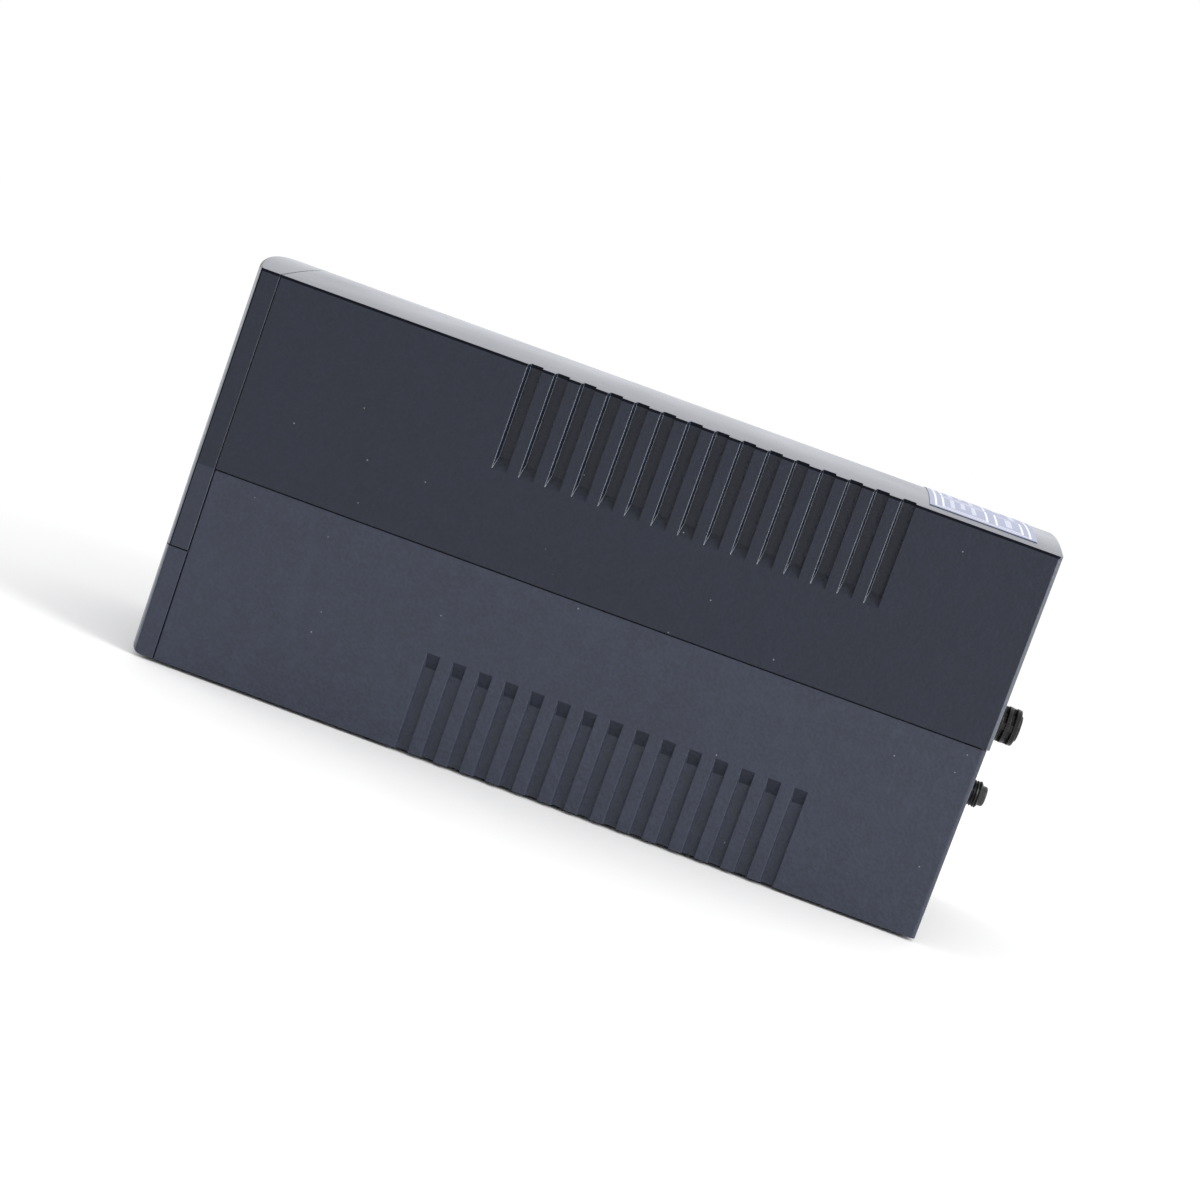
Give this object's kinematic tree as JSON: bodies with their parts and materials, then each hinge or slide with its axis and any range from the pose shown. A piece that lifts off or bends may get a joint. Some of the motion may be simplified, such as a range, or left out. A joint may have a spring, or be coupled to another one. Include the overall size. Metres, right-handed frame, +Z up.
{
  "type": "uninterruptible power supply",
  "caption": "Small tower uninterruptible power supply: drafted clamshell case with vent grooves, bowed front, rear sockets, cord gland and resettable breaker.",
  "frame": {"origin": "under the middle of the bounding box, at floor level", "axes": "+Z up, +Y towards the rear panel, -Y towards the front bezel, +X to the right seen from the front"},
  "size_m": [0.095, 0.302, 0.1438],
  "materials": {
    "upper_case_plastic": "fine moulded texture, satin",
    "lower_case_plastic": "fine moulded texture, satin",
    "gloss_black": "polished",
    "black_plastic": "satin",
    "clear_lens": "polished",
    "led_resin": "polished",
    "circuit_board": "solder mask",
    "black_rubber": "matt",
    "zinc_steel": "zinc plated",
    "brass": "plain",
    "battery_plastic": "satin",
    "red_lead": "smooth",
    "black_lead": "smooth",
    "core_iron": "laminated, varnished",
    "copper_winding": "taped winding",
    "aluminium": "extruded",
    "relay_blue": "smooth",
    "capacitor_sleeve": "shrink sleeve",
    "label_paper": "plain label stock"
  },
  "bodies": {
    "case": {"battery_case": "battery_plastic", "battery_lead_black": "black_lead", "battery_lead_red": "red_lead", "battery_led": "led_resin", "battery_lens": "clear_lens", "battery_strap": "zinc_steel", "battery_terminal_negative": "brass", "battery_terminal_positive": "brass", "breaker_body": "black_plastic", "breaker_nut": "zinc_steel", "button_switch": "black_plastic", "buzzer": "black_plastic", "case_screw_front_left": "zinc_steel", "case_screw_front_right": "zinc_steel", "case_screw_rear_left": "zinc_steel", "case_screw_rear_right": "zinc_steel", "control_panel": "gloss_black", "cord_gland": "black_rubber", "fault_led": "led_resin", "fault_lens": "clear_lens", "filter_capacitor": "capacitor_sleeve", "foot_front_left": "black_rubber", "foot_front_right": "black_rubber", "foot_rear_left": "black_rubber", "foot_rear_right": "black_rubber", "front_bezel": "upper_case_plastic", "heat_sink": "aluminium", "line_led": "led_resin", "line_lens": "clear_lens", "lower_contact_left": "brass", "lower_contact_right": "brass", "lower_earth_clip": "zinc_steel", "lower_front_panel": "lower_case_plastic", "lower_shell": "lower_case_plastic", "lower_socket": "black_plastic", "main_board": "circuit_board", "power_transistor_1": "black_plastic", "power_transistor_2": "black_plastic", "rear_panel": "black_plastic", "relay_1": "relay_blue", "relay_2": "relay_blue", "strap_screw_1": "zinc_steel", "strap_screw_2": "zinc_steel", "switch_board": "circuit_board", "top_label": "label_paper", "transformer_core": "core_iron", "transformer_frame": "zinc_steel", "transformer_screw_1": "zinc_steel", "transformer_screw_2": "zinc_steel", "transformer_winding": "copper_winding", "upper_contact_left": "brass", "upper_contact_right": "brass", "upper_earth_clip": "zinc_steel", "upper_shell": "upper_case_plastic", "upper_socket": "black_plastic"},
    "power_button": {"power_button": "black_plastic"},
    "breaker_button": {"breaker_reset_button": "black_plastic"}
  },
  "joints": [
    {"name": "power_button_press", "type": "slide", "parent": "case", "child": "power_button", "axis": [0, 1, 0], "range_m": [0, 0.0012], "stiffness_N_per_m": 900},
    {"name": "breaker_reset_travel", "type": "slide", "parent": "case", "child": "breaker_button", "axis": [0, 1, 0], "range_m": [0, 0.0035]}
  ]
}
